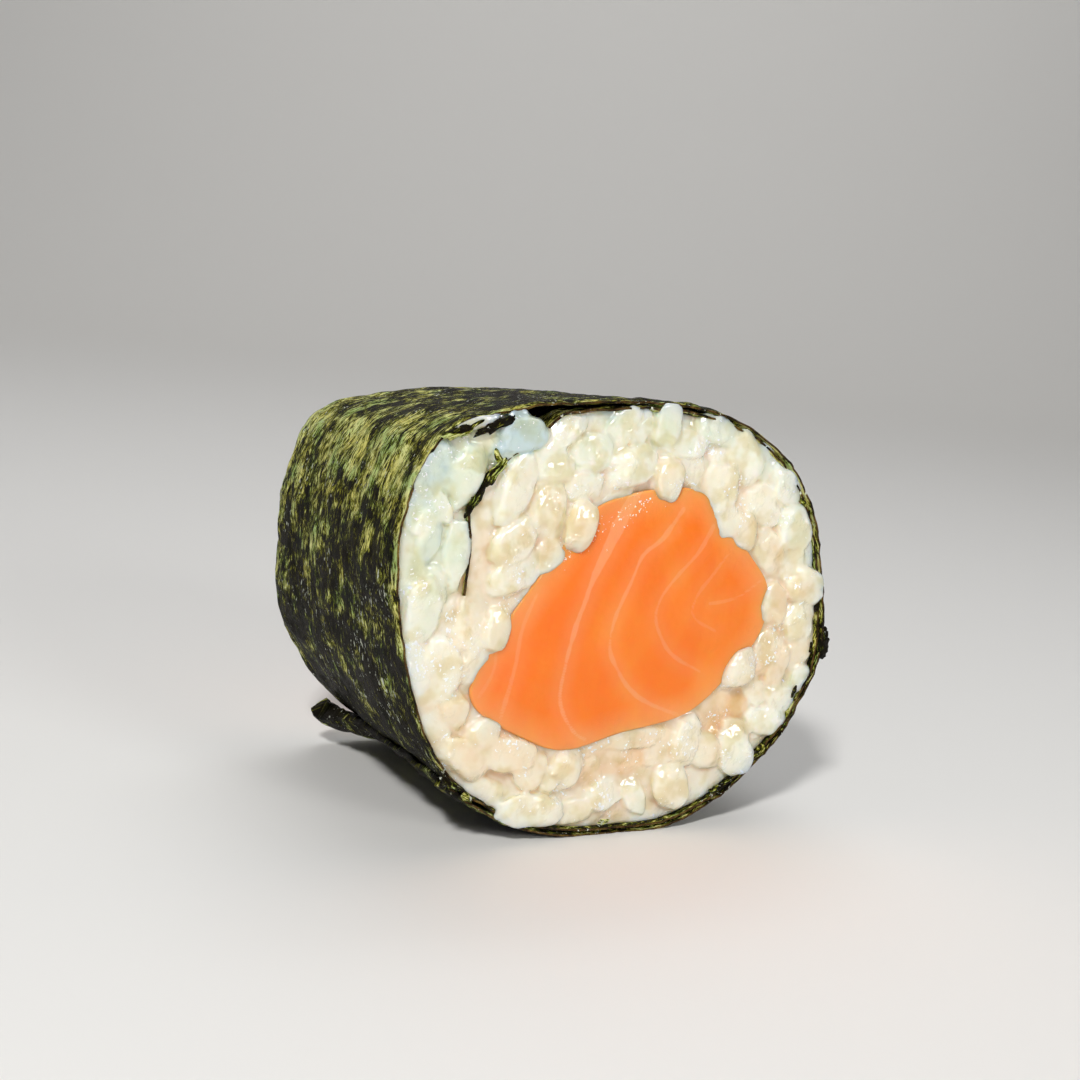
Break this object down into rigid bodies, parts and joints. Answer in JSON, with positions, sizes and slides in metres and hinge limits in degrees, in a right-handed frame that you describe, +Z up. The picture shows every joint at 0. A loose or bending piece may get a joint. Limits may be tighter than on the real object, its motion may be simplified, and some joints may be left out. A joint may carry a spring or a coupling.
{
  "type": "salmon maki roll",
  "caption": "Salmon maki piece lying on its side: nori sheet wound round sushi rice, with a thick stick of raw salmon through the middle, open at both cut ends.",
  "frame": {"origin": "middle of the piece's box, on the surface that it lies on", "axes": "+Z up, +Y along the roll's axis from the fuller cut face to the smaller one, +X to the right as seen facing the fuller cut face"},
  "size_m": [0.0394, 0.0274, 0.0341],
  "materials": {
    "nori": "damp roasted seaweed, dark olive with yellow-green fibres",
    "rice": "moist cooked short-grain rice",
    "salmon": "wet raw salmon with pale connective lines"
  },
  "bodies": {
    "root": {"nori_wrap": "nori", "rice": "rice", "salmon": "salmon"}
  },
  "joints": []
}
